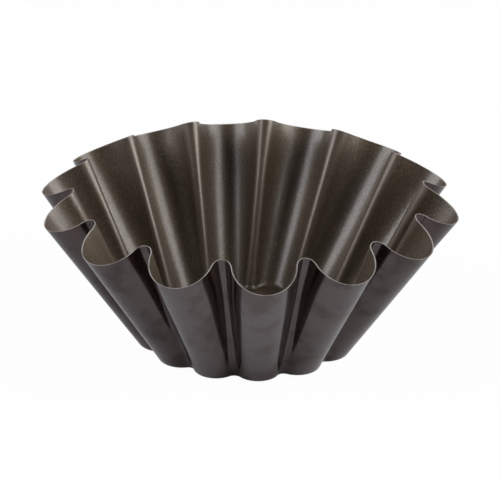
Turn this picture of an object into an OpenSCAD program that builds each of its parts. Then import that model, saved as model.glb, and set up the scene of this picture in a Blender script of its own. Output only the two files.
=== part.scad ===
// Fluted brioche mould, pressed from one round blank of coated steel sheet.
// The origin is the centre of the face that it rests on, +Z is up, and one lobe points along -Y.
// A lobe is the part of a flute that swells outwards. A cusp is the inward fold between two lobes.

/* [Rim] */
// Radius of the rim at the tip of each lobe
rim_lobe_radius = 110; // [100:1:140]
// Radius of the rim at the fold of each cusp
rim_cusp_radius = 92; // [80:1:97]
// Bend radius of each cusp at the rim, seen from above and measured on the outside
rim_cusp_bend = 4.8; // [2:0.2:9]
// Height of the rim at the tip of each lobe
rim_lobe_height = 74.5; // [50:0.5:100]
// Height of the rim at the fold of each cusp
rim_cusp_height = 85; // [50:0.5:110]

/* [Base] */
// Radius of the base at the tip of each lobe
base_lobe_radius = 58.5; // [55:0.5:90]
// Radius of the base at the fold of each cusp
base_cusp_radius = 53; // [30:0.5:55]
// Bend radius of each cusp at the base, seen from above and measured on the outside
base_cusp_bend = 4; // [2:0.5:9]
// Bend radius between the floor and the wall, measured on the inside
floor_bend = 4; // [1:0.5:6]

/* [Out of true] */
// Angle by which the rim's flutes have slipped round at the back. 0 is a perfectly regular mould
rim_slip = 2.9; // [0:0.1:3]
// Angle by which the whole base has turned under the rim
base_turn = 0.9; // [0:0.1:3]
// Angle by which the base's flutes have slipped round at the back, on top of that turn
base_slip = 6.4; // [0:0.1:8]

/* [Sheet] */
// Thickness of the coated sheet
sheet_t = 0.5; // [0.4:0.1:1]

/* [Flutes] */
// Number of flutes around the mould
flute_count = 14; // [8:2:20]

/* [Smoothness] */
// Straight steps along half a lobe
lobe_steps = 6; // [4:1:7]
// Straight steps along half a cusp
cusp_steps = 4; // [3:1:5]
// Straight steps up the wall
wall_steps = 3; // [2:1:4]
// Straight steps around the floor bend
bend_steps = 4; // [3:1:5]

/* [Hidden] */

coating_colour = [0.30, 0.27, 0.25];

// Angle from the middle of a lobe to the middle of the next cusp
half_pitch = 180 / flute_count;

// The wall leans outwards, so the sheet looks thicker in plan than it is
mean_rim_radius = (rim_lobe_radius + rim_cusp_radius) / 2;
mean_base_radius = (base_lobe_radius + base_cusp_radius) / 2;
mean_rim_height = (rim_lobe_height + rim_cusp_height) / 2;
wall_lean = atan2(mean_rim_radius - mean_base_radius, mean_rim_height);
plan_t = sheet_t / cos(wall_lean);

// Direction in which the first lobe points
first_lobe_angle = -90;

// How the rim and the base are out of true: the turn of all the flutes, the greatest slip on top of it,
// the direction of that slip from +Y towards +X, and how quickly it fades towards the opposite side
rim_out_of_true = [0, rim_slip, 20, 3];
base_out_of_true = [base_turn, base_slip, 55, 1];

// Points in one full turn of the outline
steps_per_flute = 2 * (lobe_steps + cusp_steps);
ring_size = flute_count * steps_per_flute;

function unit(v) = v / norm(v);

// Distance from the mould's axis to the centre of the lobe's arc. The lobe's arc and the cusp's arc
// are tangent to each other, which leaves one radius for the lobe.
function lobe_centre(lobe_r, cusp_r, bend) =
    let (outer = lobe_r + bend, inner = cusp_r + bend)
    (outer * outer - inner * inner) / (2 * (outer - inner * cos(half_pitch)));

// Half a flute in plan, from the middle of a lobe on +X to the middle of the next cusp.
// The inset moves every point inwards by the same distance, so it gives the inside of the sheet.
function half_flute(lobe_r, cusp_r, bend, inset) =
    let (
        lobe_c = [lobe_centre(lobe_r, cusp_r, bend), 0],
        cusp_c = (cusp_r + bend) * [cos(half_pitch), sin(half_pitch)],
        lobe_bend = lobe_r - lobe_c.x,
        join = atan2(cusp_c.y, cusp_c.x - lobe_c.x)
    )
    concat(
        [for (i = [0 : lobe_steps - 1])
            let (a = join * i / lobe_steps)
            lobe_c + (lobe_bend - inset) * [cos(a), sin(a)]],
        [for (i = [0 : cusp_steps])
            let (a = join + 180 + (half_pitch - join) * i / cusp_steps)
            cusp_c + (bend + inset) * [cos(a), sin(a)]]
    );

function turned(p, angle) = [p.x * cos(angle) - p.y * sin(angle), p.x * sin(angle) + p.y * cos(angle)];

// A point turned about the axis by the turn of all the flutes and its share of the slip
function slipped(p, slip) =
    let (share = (1 + unit(p) * [sin(slip[2]), cos(slip[2])]) / 2)
    turned(p, slip[0] + slip[1] * pow(share, slip[3]));

// The whole outline in plan, anticlockwise, with the first lobe on -Y
function outline(lobe_r, cusp_r, bend, slip, inset) =
    let (half = half_flute(lobe_r, cusp_r, bend, inset), last = len(half) - 1)
    [for (flute = [0 : flute_count - 1])
        for (i = [0 : steps_per_flute - 1])
            let (
                p = i <= last ? half[i] : half[2 * last - i],
                mirror_y = i <= last ? 1 : -1,
                turn = first_lobe_angle + 2 * half_pitch * (i <= last ? flute : flute + 1)
            )
            slipped(turned([p.x, mirror_y * p.y], turn), slip)];

// The blank's edge ends up higher at the cusps, where the sheet is folded inwards
function rim_height(radius) =
    rim_lobe_height + (rim_cusp_height - rim_lobe_height)
        * (rim_lobe_radius - radius) / (rim_lobe_radius - rim_cusp_radius);

// Round bend in a corner between two directions, from the first to the second
function corner_bend(corner, to_wall, to_floor, radius) =
    let (
        opening = acos(to_wall * to_floor),
        setback = radius / tan(opening / 2),
        centre = corner + radius / sin(opening / 2) * unit(to_wall + to_floor),
        from_centre = corner + setback * to_wall - centre,
        to_centre = corner + setback * to_floor - centre,
        sweep = 180 - opening
    )
    [for (i = [0 : bend_steps])
        let (k = i / bend_steps)
        centre + (sin((1 - k) * sweep) * from_centre + sin(k * sweep) * to_centre) / sin(sweep)];

// One line down the sheet, from the rim to the end of the floor bend
function wall_line(rim_point, base_point, floor_z, bend) =
    let (
        up = unit(rim_point - base_point),
        corner = base_point + up * (floor_z - base_point.z) / up.z,
        inwards = -unit([corner.x, corner.y, 0]),
        curve = corner_bend(corner, up, inwards, bend)
    )
    concat(
        [for (i = [0 : wall_steps - 1]) rim_point + (curve[0] - rim_point) * i / wall_steps],
        curve
    );

// All the points of one face of the sheet: a line for every point of the outline
function sheet_face(inset, floor_z, bend) =
    let (
        rim = outline(rim_lobe_radius, rim_cusp_radius, rim_cusp_bend, rim_out_of_true, inset),
        rim_outside = outline(rim_lobe_radius, rim_cusp_radius, rim_cusp_bend, rim_out_of_true, 0),
        base = outline(base_lobe_radius, base_cusp_radius, base_cusp_bend, base_out_of_true, inset)
    )
    [for (i = [0 : ring_size - 1])
        let (height = rim_height(norm(rim_outside[i])))
        for (p = wall_line([rim[i].x, rim[i].y, height], [base[i].x, base[i].y, 0], floor_z, bend)) p];

// Points on one line of the wall, and the number of points on one face of the sheet
line_size = wall_steps + bend_steps + 1;
face_size = ring_size * line_size;

// Index of a point: its place around the outline, its place down the line and its face of the sheet
function at(around, down, inside) = (around % ring_size) * line_size + down + inside * face_size;

module mould_shell() {
    outside = sheet_face(0, 0, floor_bend + sheet_t);
    inside = sheet_face(plan_t, sheet_t, floor_bend);
    floor_centres = [[0, 0, 0], [0, 0, sheet_t]];
    bottom_centre = 2 * face_size;
    floor_centre = bottom_centre + 1;
    last = line_size - 1;

    wall_triangles = [for (i = [0 : ring_size - 1])
        for (j = [0 : line_size - 2])
            for (t = [
                [at(i, j, 0), at(i + 1, j, 0), at(i + 1, j + 1, 0)],
                [at(i, j, 0), at(i + 1, j + 1, 0), at(i, j + 1, 0)],
                [at(i, j, 1), at(i + 1, j + 1, 1), at(i + 1, j, 1)],
                [at(i, j, 1), at(i, j + 1, 1), at(i + 1, j + 1, 1)]
            ]) t];
    rim_triangles = [for (i = [0 : ring_size - 1])
        for (t = [
            [at(i, 0, 0), at(i, 0, 1), at(i + 1, 0, 1)],
            [at(i, 0, 0), at(i + 1, 0, 1), at(i + 1, 0, 0)]
        ]) t];
    floor_triangles = [for (i = [0 : ring_size - 1])
        for (t = [
            [at(i, last, 0), at(i + 1, last, 0), bottom_centre],
            [at(i + 1, last, 1), at(i, last, 1), floor_centre]
        ]) t];

    color(coating_colour)
        polyhedron(
            points = concat(outside, inside, floor_centres),
            faces = concat(wall_triangles, rim_triangles, floor_triangles)
        );
}

mould_shell();
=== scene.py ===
"""Fluted brioche mould: a smooth shell in place of the faceted one, its three finishes and a plain studio."""

import math
from collections import namedtuple

import bpy
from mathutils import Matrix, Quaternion, Vector


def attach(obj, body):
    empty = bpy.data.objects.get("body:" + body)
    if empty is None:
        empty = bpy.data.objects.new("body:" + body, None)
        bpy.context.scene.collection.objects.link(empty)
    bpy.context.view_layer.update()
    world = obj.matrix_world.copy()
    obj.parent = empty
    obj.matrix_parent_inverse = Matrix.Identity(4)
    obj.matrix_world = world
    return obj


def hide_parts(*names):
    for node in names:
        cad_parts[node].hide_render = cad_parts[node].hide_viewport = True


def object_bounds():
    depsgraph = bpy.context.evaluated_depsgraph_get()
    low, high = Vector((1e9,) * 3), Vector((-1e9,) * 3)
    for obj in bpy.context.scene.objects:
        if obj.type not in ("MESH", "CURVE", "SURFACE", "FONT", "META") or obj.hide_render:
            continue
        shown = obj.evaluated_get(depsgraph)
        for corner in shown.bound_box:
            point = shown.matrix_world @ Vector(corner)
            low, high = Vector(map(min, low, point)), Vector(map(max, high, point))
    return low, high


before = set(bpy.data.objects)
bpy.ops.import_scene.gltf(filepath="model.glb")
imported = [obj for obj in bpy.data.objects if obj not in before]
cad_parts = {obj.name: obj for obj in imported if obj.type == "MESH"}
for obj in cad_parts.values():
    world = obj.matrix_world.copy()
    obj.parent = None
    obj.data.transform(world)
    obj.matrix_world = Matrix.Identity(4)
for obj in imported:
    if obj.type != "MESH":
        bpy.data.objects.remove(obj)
cad_low, cad_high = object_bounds()

# Sizes of the sheet, in metres, as in the part's source
MM = 0.001
FLUTES = 14
RIM_LOBE_RADIUS = -cad_low.y
RIM_CUSP_RADIUS = 92 * MM
RIM_CUSP_BEND = 4.8 * MM
RIM_LOBE_HEIGHT = 74.5 * MM
RIM_CUSP_HEIGHT = cad_high.z
BASE_LOBE_RADIUS = 58.5 * MM
BASE_CUSP_RADIUS = 53 * MM
BASE_CUSP_BEND = 4 * MM
FLOOR_BEND = 4 * MM
SHEET = 0.5 * MM

# Angle from the middle of a lobe to the middle of the next cusp
HALF_PITCH = math.pi / FLUTES

# Between the rim and the base the folds are tighter than at both. From 0 at the rim to 1 at the base, they
# tighten over the first of these stretches of the wall and open again over the second.
WALL_CUSP_BEND = 3.3 * MM
TIGHTENING = (0.0, 0.35)
OPENING = (0.8, 1.0)

# How the flutes have slipped round the axis: by the turn everywhere, and on top of it by a slip that is
# greatest at the heading, from +Y towards +X. The higher the sharpness, the more it keeps to that side.
Slip = namedtuple("Slip", "turn greatest heading sharpness")
RIM_SLIP = Slip(turn=0, greatest=math.radians(2.9), heading=math.radians(20), sharpness=3)
BASE_SLIP = Slip(turn=math.radians(0.9), greatest=math.radians(6.4), heading=math.radians(55), sharpness=1)

# Fineness of the smooth mesh. Edges sharper than the last angle stay crisp.
LOBE_STEPS = 14
CUSP_STEPS = 8
WALL_STEPS = 24
BEND_STEPS = 8
FLOOR_RINGS = 6
CRISP_EDGE = math.radians(50)

# Sides of the sheet, which are the first two of its three material slots
OUTSIDE = 0
INSIDE = 1
EDGE = 2

# Mesh attributes: each point's distance from the rim, down the sheet, and its share of a fold, 1 in the
# fold's middle. The share rises over this part of a half cusp, from its join with the lobe.
BELOW_RIM = "below_rim"
FOLD = "fold"
FOLD_RISE = 0.7

# Next to the trimmed rim the finishes are partly worn off the steel. The wear fades out between these two
# distances from the rim.
WORN_RIM = (0.03 * MM, 0.16 * MM)
WORN_SHARE = 0.6
BARE_STEEL = (0.40, 0.35, 0.30, 1)

# Camera: the photograph's angle, lens and framing. It stands this far round from -Y, towards -X, and its
# focal length is in pixels of the photograph.
CAMERA_TURN = math.radians(4.98)
CAMERA_ELEVATION = math.radians(24.83)
CAMERA_DISTANCE = 1.768
CAMERA_AIM = Vector((0.00098, 0.0, 0.0485))
CAMERA_ROLL = math.radians(1.05)
FOCAL_PIXELS = 3355.7
PHOTO_PIXELS = 500
SENSOR_MM = 36.0

# Studio. The floor shows this much white to the camera and in reflections, and the rest of it is lit and
# shaded paper. It reaches this far each way.
WHITE = (1, 1, 1, 1)
WHITE_TO_CAMERA = 0.97
WHITE_IN_REFLECTIONS = 0.08
FLOOR_REACH = 6.0

# The white sweep behind the floor fades into the dark room between these two sines of the elevation
SWEEP_FADE = (0.09, 0.16)
ROOM_LEVEL = 0.012
SOFTBOX_DISTANCE = 1.6

# A Mix node has sockets of the same names for values, vectors and colours, so a colour's sockets go by number
MIX_FACTOR = 0
MIX_FIRST = 6
MIX_SECOND = 7
MIX_RESULT = 2


def main():
    shell = make_shell()
    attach(shell, "root")
    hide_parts("mould_shell")

    make_floor()
    make_lights()
    make_world()
    make_camera()
    bpy.context.scene.view_settings.view_transform = "Standard"


# Node trees

class Wire:
    """A value, colour or vector inside a node tree. Arithmetic on values adds Math nodes."""

    def __init__(self, tree, socket):
        self.tree = tree
        self.socket = socket

    def calculate(self, operation, *values):
        """The result of one Math node."""
        return self.tree.add("ShaderNodeMath", {"operation": operation}, dict(enumerate(values)))

    def __add__(self, other):
        return self.calculate("ADD", self, other)

    __radd__ = __add__

    def __sub__(self, other):
        return self.calculate("SUBTRACT", self, other)

    def __rsub__(self, other):
        return self.calculate("SUBTRACT", other, self)

    def __mul__(self, other):
        return self.calculate("MULTIPLY", self, other)

    __rmul__ = __mul__

    def clamped(self):
        """The value, kept from 0 to 1."""
        return self.calculate("MAXIMUM", self.calculate("MINIMUM", self, 1.0), 0.0)

    def between(self, low, high):
        """0 at low, 1 at high and a soft curve from one to the other."""
        inputs = {"Value": self, "From Min": low, "From Max": high}
        return self.tree.add("ShaderNodeMapRange", {"interpolation_type": "SMOOTHSTEP"}, inputs)


class Tree:
    """The nodes of one material or of the world."""

    def __init__(self, owner):
        owner.use_nodes = True
        self.nodes = owner.node_tree.nodes
        self.links = owner.node_tree.links
        self.nodes.clear()

    def add(self, kind, settings=None, inputs=None, output=0):
        """Adds a node, with its settings first and then the values or links of its sockets."""
        node = self.nodes.new(kind)
        for name, value in (settings or {}).items():
            setattr(node, name, value)
        for name, value in (inputs or {}).items():
            if isinstance(value, Wire):
                self.links.new(value.socket, node.inputs[name])
            else:
                node.inputs[name].default_value = value
        return Wire(self, node.outputs[output]) if node.outputs else None

    def place(self):
        """The point of the surface, in metres."""
        return self.add("ShaderNodeTexCoord", output="Object")

    def ray(self, kind):
        """1 for rays of one kind, such as "Camera", and 0 for all others."""
        return self.add("ShaderNodeLightPath", output=f"Is {kind} Ray")

    def point_value(self, name):
        """The mesh attribute of that name."""
        return self.add("ShaderNodeAttribute", {"attribute_name": name}, output="Fac")

    def noise(self, place, size, detail=2.0, roughness=0.5, stretch=(1, 1, 1)):
        """Soft noise from 0 to 1, with spots of about the given size in metres."""
        scaled = self.add("ShaderNodeVectorMath", {"operation": "MULTIPLY"}, {0: place, 1: stretch})
        inputs = {"Vector": scaled, "Scale": 1 / size, "Detail": detail, "Roughness": roughness}
        return self.add("ShaderNodeTexNoise", None, inputs)

    def blend(self, factor, first, second):
        """A colour between the first and the second, by the factor."""
        inputs = {MIX_FACTOR: factor, MIX_FIRST: first, MIX_SECOND: second}
        return self.add("ShaderNodeMix", {"data_type": "RGBA"}, inputs, output=MIX_RESULT)

    def bump(self, height, depth, strength):
        """A normal from a height of 0 to 1, which stands for the given depth in metres."""
        return self.add("ShaderNodeBump", None, {"Strength": strength, "Distance": depth, "Height": height})

    def mix_shader(self, factor, first, second):
        """A shader between the first and the second, by the factor."""
        return self.add("ShaderNodeMixShader", None, {0: factor, 1: first, 2: second})

    def finish_surface(self, inputs):
        """Ends a material with one Principled shader that has these values or links."""
        shader = self.add("ShaderNodeBsdfPrincipled", None, inputs)
        self.add("ShaderNodeOutputMaterial", None, {"Surface": shader})


# Outline of the flutes

def turned(point, angle):
    """The point turned anticlockwise about the axis."""
    x, y = point
    return (x * math.cos(angle) - y * math.sin(angle), x * math.sin(angle) + y * math.cos(angle))


def mirrored(point):
    """The point on the other side of the cusp's own plane."""
    x, y = turned(point, -HALF_PITCH)
    return turned((x, -y), HALF_PITCH)


def slipped(point, slip):
    """The point turned about the axis by the flutes' turn and its share of their slip."""
    towards = Vector((math.sin(slip.heading), math.cos(slip.heading)))
    share = (1 + Vector(point).normalized().dot(towards)) / 2
    return turned(point, slip.turn + slip.greatest * share ** slip.sharpness)


def lobe_centre(lobe_radius, cusp_radius, bend):
    """Distance from the axis to the centre of the lobe's arc, which is tangent to the cusp's arc."""
    outer = lobe_radius + bend
    inner = cusp_radius + bend
    return (outer ** 2 - inner ** 2) / (2 * (outer - inner * math.cos(HALF_PITCH)))


def half_flute(lobe_radius, cusp_radius, bend, inset):
    """Half a flute in plan, from the middle of a lobe on +X to the middle of the next cusp."""
    lobe_x = lobe_centre(lobe_radius, cusp_radius, bend)
    cusp_x = (cusp_radius + bend) * math.cos(HALF_PITCH)
    cusp_y = (cusp_radius + bend) * math.sin(HALF_PITCH)
    join = math.atan2(cusp_y, cusp_x - lobe_x)
    points = []
    for i in range(LOBE_STEPS):
        angle = join * i / LOBE_STEPS
        radius = lobe_radius - lobe_x - inset
        points.append((lobe_x + radius * math.cos(angle), radius * math.sin(angle)))
    for i in range(CUSP_STEPS + 1):
        angle = join + math.pi + (HALF_PITCH - join) * i / CUSP_STEPS
        radius = bend + inset
        points.append((cusp_x + radius * math.cos(angle), cusp_y + radius * math.sin(angle)))
    return points


def outline(lobe_radius, cusp_radius, bend, slip, inset):
    """The outline in plan, anticlockwise from the lobe on -Y, moved inwards by the inset."""
    half = half_flute(lobe_radius, cusp_radius, bend, inset)
    flute = half + [mirrored(p) for p in half[-2:0:-1]]
    turns = [2 * HALF_PITCH * k - math.pi / 2 for k in range(FLUTES)]
    return [slipped(turned(p, turn), slip) for turn in turns for p in flute]


def rim_outline(inset):
    return outline(RIM_LOBE_RADIUS, RIM_CUSP_RADIUS, RIM_CUSP_BEND, RIM_SLIP, inset)


def base_outline(inset):
    return outline(BASE_LOBE_RADIUS, BASE_CUSP_RADIUS, BASE_CUSP_BEND, BASE_SLIP, inset)


# Shell

def rim_height(radius):
    """The blank's edge ends up higher at the cusps, where the sheet is folded inwards."""
    share = (RIM_LOBE_RADIUS - radius) / (RIM_LOBE_RADIUS - RIM_CUSP_RADIUS)
    return RIM_LOBE_HEIGHT + (RIM_CUSP_HEIGHT - RIM_LOBE_HEIGHT) * share


def plan_thickness():
    """The sheet's thickness in plan, where it looks thicker because the wall leans outwards."""
    reach = (RIM_LOBE_RADIUS + RIM_CUSP_RADIUS - BASE_LOBE_RADIUS - BASE_CUSP_RADIUS) / 2
    rise = (RIM_LOBE_HEIGHT + RIM_CUSP_HEIGHT) / 2
    return SHEET / math.cos(math.atan2(reach, rise))


def smooth_step(value, low, high):
    """0 up to low, 1 from high on and a soft curve from one to the other."""
    share = min(max((value - low) / (high - low), 0), 1)
    return share * share * (3 - 2 * share)


def fold_shifts(inset):
    """How far each point of each level of the wall moves to make the folds tighter there. The moves are so
    small that the rim's slip serves for all the levels."""
    levels = []
    for level in range(WALL_STEPS):
        down = level / WALL_STEPS
        lobe_radius = RIM_LOBE_RADIUS + (BASE_LOBE_RADIUS - RIM_LOBE_RADIUS) * down
        cusp_radius = RIM_CUSP_RADIUS + (BASE_CUSP_RADIUS - RIM_CUSP_RADIUS) * down
        bend = RIM_CUSP_BEND + (BASE_CUSP_BEND - RIM_CUSP_BEND) * down
        share = smooth_step(down, *TIGHTENING) * (1 - smooth_step(down, *OPENING))
        tight_bend = bend + (WALL_CUSP_BEND - bend) * share
        loose = outline(lobe_radius, cusp_radius, bend, RIM_SLIP, inset)
        tight = outline(lobe_radius, cusp_radius, tight_bend, RIM_SLIP, inset)
        levels.append([Vector((b[0] - a[0], b[1] - a[1], 0)) for a, b in zip(loose, tight)])
    return levels


def corner_bend(corner, to_wall, to_floor, radius):
    """Points of a round bend in a corner, from the wall to the floor."""
    opening = to_wall.angle(to_floor)
    setback = radius / math.tan(opening / 2)
    centre = corner + radius / math.sin(opening / 2) * (to_wall + to_floor).normalized()
    start = corner + setback * to_wall - centre
    end = corner + setback * to_floor - centre
    sweep = math.pi - opening
    points = []
    for i in range(BEND_STEPS + 1):
        k = i / BEND_STEPS
        arm = (math.sin((1 - k) * sweep) * start + math.sin(k * sweep) * end) / math.sin(sweep)
        points.append(centre + arm)
    return points


def sheet_line(rim, base, floor_z, bend):
    """One line on the sheet, from the rim down the wall, round the floor bend and in to near the axis."""
    up = (rim - base).normalized()
    corner = base + up * (floor_z / up.z)
    inwards = -Vector((corner.x, corner.y, 0)).normalized()
    curve = corner_bend(corner, up, inwards, bend)
    wall = [rim.lerp(curve[0], i / WALL_STEPS) for i in range(WALL_STEPS)]
    hub = Vector((0, 0, floor_z))
    floor = [curve[-1].lerp(hub, i / (FLOOR_RINGS + 1)) for i in range(1, FLOOR_RINGS + 1)]
    return wall + curve + floor


def sheet_lines():
    """The lines of the outside, one for each point of the outline, and then those of the inside."""
    heights = [rim_height(math.hypot(*p)) for p in rim_outline(0)]
    outside = (0, 0, FLOOR_BEND + SHEET)
    inside = (plan_thickness(), SHEET, FLOOR_BEND)
    lines = []
    for inset, floor_z, bend in (outside, inside):
        shifts = fold_shifts(inset)
        for i, (rim, base, height) in enumerate(zip(rim_outline(inset), base_outline(inset), heights)):
            line = sheet_line(Vector((*rim, height)), Vector((*base, 0)), floor_z, bend)
            lines.append([p + shifts[j][i] if j < WALL_STEPS else p for j, p in enumerate(line)])
    return lines


def sheet_faces(around, down):
    """The faces between the lines of both sides, the fan in each side's middle and the cut edge at the rim,
    with each face's material slot. The middle points come after those of the lines."""
    bottom_middle = 2 * around * down
    floor_middle = bottom_middle + 1
    last = down - 1

    def at(i, j, side):
        return (side * around + i % around) * down + j

    faces = []
    slots = []
    for i in range(around):
        for j in range(last):
            faces.append((
                at(i, j, OUTSIDE), at(i, j + 1, OUTSIDE), at(i + 1, j + 1, OUTSIDE), at(i + 1, j, OUTSIDE),
            ))
            faces.append((
                at(i, j, INSIDE), at(i + 1, j, INSIDE), at(i + 1, j + 1, INSIDE), at(i, j + 1, INSIDE),
            ))
            slots += [OUTSIDE, INSIDE]
        faces.append((at(i, last, OUTSIDE), bottom_middle, at(i + 1, last, OUTSIDE)))
        faces.append((at(i, last, INSIDE), at(i + 1, last, INSIDE), floor_middle))
        faces.append((at(i, 0, OUTSIDE), at(i + 1, 0, OUTSIDE), at(i + 1, 0, INSIDE), at(i, 0, INSIDE)))
        slots += [OUTSIDE, INSIDE, EDGE]
    return faces, slots


def fold_shares():
    """For each point of the outline, 0 on a lobe and up to 1 in the middle of a cusp."""
    half = [0] * LOBE_STEPS + [smooth_step(i, 0, CUSP_STEPS * FOLD_RISE) for i in range(CUSP_STEPS + 1)]
    return (half + half[-2:0:-1]) * FLUTES


def set_point_values(mesh, name, values):
    """Gives the mesh an attribute with one number for each point."""
    mesh.attributes.new(name, "FLOAT", "POINT").data.foreach_set("value", values)


def make_shell():
    """One closed mesh of the pressed sheet, with its outside, inside and cut edge in three finishes."""
    lines = sheet_lines()
    down = len(lines[0])
    middles = [Vector((0, 0, 0)), Vector((0, 0, SHEET))]
    faces, slots = sheet_faces(len(lines) // 2, down)

    mesh = bpy.data.meshes.new("pressed_sheet")
    mesh.from_pydata([p for line in lines for p in line] + middles, [], faces)
    for material in (outside_lacquer(), inside_coating(), cut_edge()):
        mesh.materials.append(material)
    mesh.polygons.foreach_set("material_index", slots)
    mesh.polygons.foreach_set("use_smooth", [True] * len(faces))
    mesh.set_sharp_from_angle(angle=CRISP_EDGE)

    # The middles count as a whole rim's radius away from the rim, and as no fold
    depths = [(line[0] - p).length for line in lines for p in line]
    set_point_values(mesh, BELOW_RIM, depths + [RIM_LOBE_RADIUS for _ in middles])
    folds = [share if j < WALL_STEPS else 0 for share in 2 * fold_shares() for j in range(down)]
    set_point_values(mesh, FOLD, folds + [0 for _ in middles])

    shell = bpy.data.objects.new("pressed_shell", mesh)
    bpy.context.scene.collection.objects.link(shell)
    return shell


# Finishes

def worn_rim(tree):
    """1 at the rim, where the finishes are worn most, and 0 just below it."""
    return 1 - tree.point_value(BELOW_RIM).between(*WORN_RIM)


def outside_lacquer():
    """Dark glossy lacquer, baked on over the steel, with faint handling marks and a slight orange peel."""
    material = bpy.data.materials.new("outside_lacquer")
    tree = Tree(material)
    place = tree.place()
    clouds = tree.noise(place, size=35 * MM, detail=3).between(0.35, 0.65)
    drawn = tree.noise(place, size=4 * MM, detail=3, stretch=(1, 1, 0.06))
    smudges = tree.noise(place, size=9 * MM, detail=5, roughness=0.65).between(0.5, 0.72)
    dull = tree.noise(place, size=16 * MM, detail=4, roughness=0.6).between(0.45, 0.68)
    peel = tree.noise(place, size=2.2 * MM, detail=1)
    worn = worn_rim(tree)

    red_brown = (0.0085, 0.0030, 0.0010, 1)
    black_brown = (0.0045, 0.0018, 0.0008, 1)
    smudged = (0.014, 0.008, 0.0065, 1)
    tone = tree.blend(clouds, red_brown, black_brown)
    tone = tree.blend(smudges * 0.5, tone, smudged)
    tone = tree.blend(worn * WORN_SHARE, tone, BARE_STEEL)
    tree.finish_surface({
        "Base Color": tone,
        "Roughness": 0.12 + drawn * 0.04 + smudges * 0.06 + worn * 0.25,
        "Metallic": (dull * 0.35 + worn * 0.4).clamped(),
        "IOR": 1.75,
        "Specular Tint": (1.0, 0.75, 0.72, 1),
        "Normal": tree.bump(peel + drawn * 0.5, depth=0.003 * MM, strength=0.35),
    })
    return material


def inside_coating():
    """Taupe non-stick coating with fine metal flakes, satin, and a little lighter along the folds, partly
    worn and partly a painted highlight.
    """
    material = bpy.data.materials.new("inside_coating")
    tree = Tree(material)
    place = tree.place()
    clouds = tree.noise(place, size=30 * MM, detail=3).between(0.35, 0.65)
    mottle = tree.noise(place, size=6 * MM, detail=4, roughness=0.6)
    grain = tree.noise(place, size=0.75 * MM, detail=2, roughness=0.6)
    flakes = tree.noise(place, size=0.55 * MM, detail=1).between(0.6, 0.75)
    fold = tree.point_value(FOLD)

    brown_taupe = (0.122, 0.081, 0.047, 1)
    grey_taupe = (0.118, 0.081, 0.054, 1)
    mottled = (0.086, 0.058, 0.037, 1)
    dark_grain = (0.044, 0.030, 0.019, 1)
    metal_flake = (0.28, 0.23, 0.18, 1)
    fold_wear_and_highlight = (0.165, 0.120, 0.092, 1)
    tone = tree.blend(clouds, brown_taupe, grey_taupe)
    tone = tree.blend(mottle.between(0.35, 0.7) * 0.35, tone, mottled)
    tone = tree.blend(grain.between(0.40, 0.60) * 0.65, tone, dark_grain)
    tone = tree.blend(flakes * 0.5, tone, metal_flake)
    # Lighter along the folds: partly worn coating, partly a painted highlight on the fold ridges
    tone = tree.blend(fold * 0.4, tone, fold_wear_and_highlight)
    tone = tree.blend(worn_rim(tree) * WORN_SHARE, tone, BARE_STEEL)
    tree.finish_surface({
        "Base Color": tone,
        "Roughness": 0.41 + mottle * 0.06 + grain * 0.08 - fold * 0.05,
        "Metallic": 0.44,
        "Coat Weight": 0.56,
        "Coat Roughness": 0.265,
        "Coat IOR": 1.5,
        "Normal": tree.bump(grain + mottle, depth=0.012 * MM, strength=0.45),
    })
    return material


def cut_edge():
    """Bare steel where the blank was trimmed, with the fine marks of the cut and some baked-on stain."""
    material = bpy.data.materials.new("cut_edge")
    tree = Tree(material)
    place = tree.place()
    burrs = tree.noise(place, size=0.4 * MM, detail=3)
    stain = tree.noise(place, size=8 * MM, detail=3).between(0.42, 0.62)

    fresh_cut = (0.60, 0.55, 0.50, 1)
    burred = (0.42, 0.37, 0.33, 1)
    stained = (0.24, 0.19, 0.15, 1)
    tone = tree.blend(burrs, fresh_cut, burred)
    tone = tree.blend(stain * 0.6, tone, stained)
    tree.finish_surface({
        "Base Color": tone,
        "Roughness": 0.34 + burrs * 0.2,
        "Metallic": 0.4,
        "Normal": tree.bump(burrs, depth=0.02 * MM, strength=0.5),
    })
    return material


# Studio

def white_floor():
    """White to the camera and in part in reflections. To the light it is pale matt paper, which keeps the
    mould's shadow."""
    material = bpy.data.materials.new("white_floor")
    tree = Tree(material)
    reflected = (tree.ray("Glossy") + tree.ray("Transmission")).clamped()
    whiteness = tree.ray("Camera") * WHITE_TO_CAMERA + reflected * WHITE_IN_REFLECTIONS

    light_paper = (0.90, 0.90, 0.90, 1)
    darker_paper = (0.88, 0.88, 0.88, 1)
    paper_tone = tree.blend(tree.noise(tree.place(), size=3 * MM), light_paper, darker_paper)
    paper = tree.add("ShaderNodeBsdfDiffuse", None, {"Color": paper_tone})
    white = tree.add("ShaderNodeEmission", None, {"Color": WHITE, "Strength": 1.0})
    tree.add("ShaderNodeOutputMaterial", None, {"Surface": tree.mix_shader(whiteness, paper, white)})
    return material


def make_floor():
    """A level sheet of white paper under the mould."""
    mesh = bpy.data.meshes.new("floor")
    corners = [(-1, -1), (1, -1), (1, 1), (-1, 1)]
    mesh.from_pydata([(x * FLOOR_REACH, y * FLOOR_REACH, 0) for x, y in corners], [], [(0, 1, 2, 3)])
    mesh.materials.append(white_floor())
    floor = bpy.data.objects.new("floor", mesh)
    bpy.context.scene.collection.objects.link(floor)


def direction(azimuth, elevation):
    """A way out from the mould. Azimuth 0 is -Y, the camera's side, and 90 is +X, to the camera's right."""
    a = math.radians(azimuth)
    e = math.radians(elevation)
    return Vector((math.sin(a) * math.cos(e), -math.cos(a) * math.cos(e), math.sin(e)))


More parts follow.
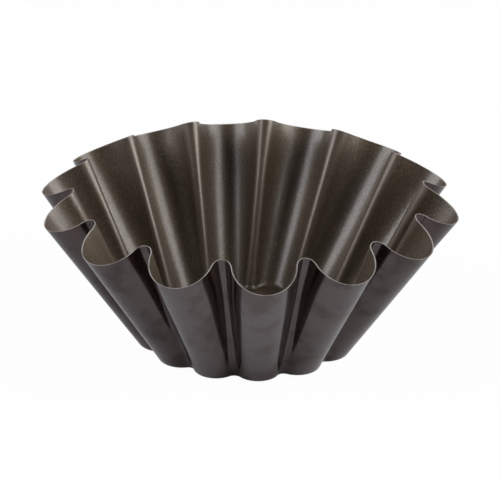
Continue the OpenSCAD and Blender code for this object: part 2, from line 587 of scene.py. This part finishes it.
def softbox(name, azimuth, elevation, width, height, brightness, colour):
    """A soft light that faces the mould. Its width and height are in degrees, as the mould sees them."""
    data = bpy.data.lights.new(name, "AREA")
    data.shape = "RECTANGLE"
    data.size = 2 * SOFTBOX_DISTANCE * math.tan(math.radians(width / 2))
    data.size_y = 2 * SOFTBOX_DISTANCE * math.tan(math.radians(height / 2))
    data.energy = brightness * math.pi * data.size * data.size_y
    data.color = colour
    towards = direction(azimuth, elevation)
    light = bpy.data.objects.new(name, data)
    light.location = towards * SOFTBOX_DISTANCE
    light.rotation_euler = towards.to_track_quat("Z", "Y").to_euler()
    bpy.context.scene.collection.objects.link(light)


def make_lights():
    """Two slightly cool softboxes, a tall one on the right and a lower, cooler one on the left."""
    softbox(
        "right_softbox",
        azimuth=72.5, elevation=29.6,
        width=48, height=57.5,
        brightness=4.8, colour=(0.945, 1.0, 1.04),
    )
    softbox(
        "left_softbox",
        azimuth=-88, elevation=35.2,
        width=48, height=34.5,
        brightness=5.1, colour=(0.93, 1.0, 1.09),
    )


def make_world():
    """A dark room with a white sweep along its horizon, which only the camera and reflections see."""
    world = bpy.data.worlds.new("studio")
    bpy.context.scene.world = world
    tree = Tree(world)
    sight = tree.add("ShaderNodeTexCoord", output="Generated")
    height = tree.add("ShaderNodeSeparateXYZ", None, {"Vector": sight}, output="Z")
    seen = (tree.ray("Camera") + tree.ray("Glossy") + tree.ray("Transmission")).clamped()
    sweep = (1 - height.between(*SWEEP_FADE)) * seen
    level = sweep * (1 - ROOM_LEVEL) + ROOM_LEVEL
    background = tree.add("ShaderNodeBackground", None, {"Color": WHITE, "Strength": level})
    tree.add("ShaderNodeOutputWorld", None, {"Surface": background})


def make_camera():
    """Looks at the mould as the photograph does."""
    data = bpy.data.cameras.new("camera")
    data.sensor_width = SENSOR_MM
    data.lens = FOCAL_PIXELS / PHOTO_PIXELS * SENSOR_MM
    camera = bpy.data.objects.new("camera", data)
    aim = Vector((*turned(CAMERA_AIM.xy, -CAMERA_TURN), CAMERA_AIM.z))
    level_back = turned((0, -math.cos(CAMERA_ELEVATION)), -CAMERA_TURN)
    back = Vector((*level_back, math.sin(CAMERA_ELEVATION)))
    camera.location = aim + back * CAMERA_DISTANCE
    facing = back.to_track_quat("Z", "Y")
    facing.rotate(Quaternion(back, CAMERA_ROLL))
    camera.rotation_mode = "QUATERNION"
    camera.rotation_quaternion = facing
    bpy.context.scene.collection.objects.link(camera)
    bpy.context.scene.camera = camera


main()
